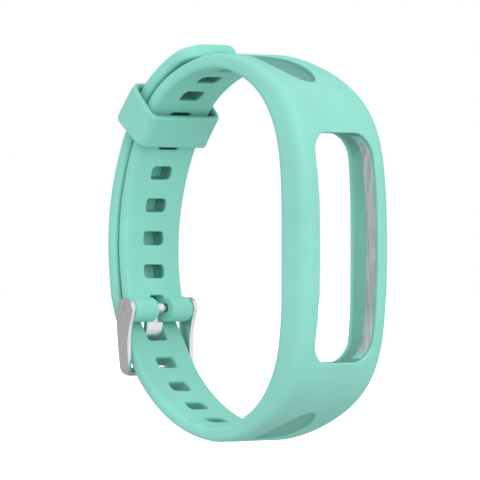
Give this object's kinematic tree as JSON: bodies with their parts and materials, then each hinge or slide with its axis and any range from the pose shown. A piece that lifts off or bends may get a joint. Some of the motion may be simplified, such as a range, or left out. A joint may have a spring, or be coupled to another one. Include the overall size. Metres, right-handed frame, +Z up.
{
  "type": "wrist band for an activity tracker",
  "caption": "Closed perforated silicone wrist band with an open oblong tracker window, sliding keeper and steel pin buckle.",
  "frame": {"origin": "centre of the wrist opening, on the wrist's axis", "axes": "+X along the wrist, -Y towards the tracker window, +Y towards the buckle, +Z up the closed loop with the tail's tip at the top"},
  "size_m": [0.024, 0.0508, 0.0715],
  "materials": {
    "band_silicone": "matte",
    "keeper_silicone": "matte",
    "grey_liner": "satin",
    "buckle_steel": "brushed",
    "tongue_steel": "polished",
    "pin_steel": "satin"
  },
  "bodies": {
    "band_body": {"band": "band_silicone", "window_liner_left": "grey_liner", "window_liner_right": "grey_liner", "spring_bar_barrel": "pin_steel", "spring_bar_spring": "pin_steel"},
    "keeper": {"keeper_loop": "keeper_silicone"},
    "buckle": {"buckle_frame": "buckle_steel"},
    "tongue": {"buckle_tongue": "tongue_steel"},
    "plunger_left": {"spring_bar_plunger_left": "pin_steel"},
    "plunger_right": {"spring_bar_plunger_right": "pin_steel"}
  },
  "joints": [
    {"name": "keeper_travel", "type": "hinge", "parent": "band_body", "child": "keeper", "pos_m": [0, -0.0275, 0], "axis": [1, 0, 0], "range_deg": [-20, 0]},
    {"name": "buckle_swing", "type": "hinge", "parent": "band_body", "child": "buckle", "pos_m": [0, 0.0186, -0.011], "axis": [1, 0, 0], "range_deg": [0, 8]},
    {"name": "tongue_swing", "type": "hinge", "parent": "buckle", "child": "tongue", "pos_m": [0, 0.0186, -0.011], "axis": [1, 0, 0], "range_deg": [0, 5]},
    {"name": "plunger_left_press", "type": "slide", "parent": "band_body", "child": "plunger_left", "axis": [1, 0, 0], "range_m": [0, 0.001], "stiffness_N_per_m": 300, "springref_m": -0.0004, "deforming": ["spring_bar_spring"]},
    {"name": "plunger_right_press", "type": "slide", "parent": "band_body", "child": "plunger_right", "axis": [1, 0, 0], "range_m": [-0.001, 0], "stiffness_N_per_m": 300, "springref_m": 0.0004, "deforming": ["spring_bar_spring"]}
  ]
}
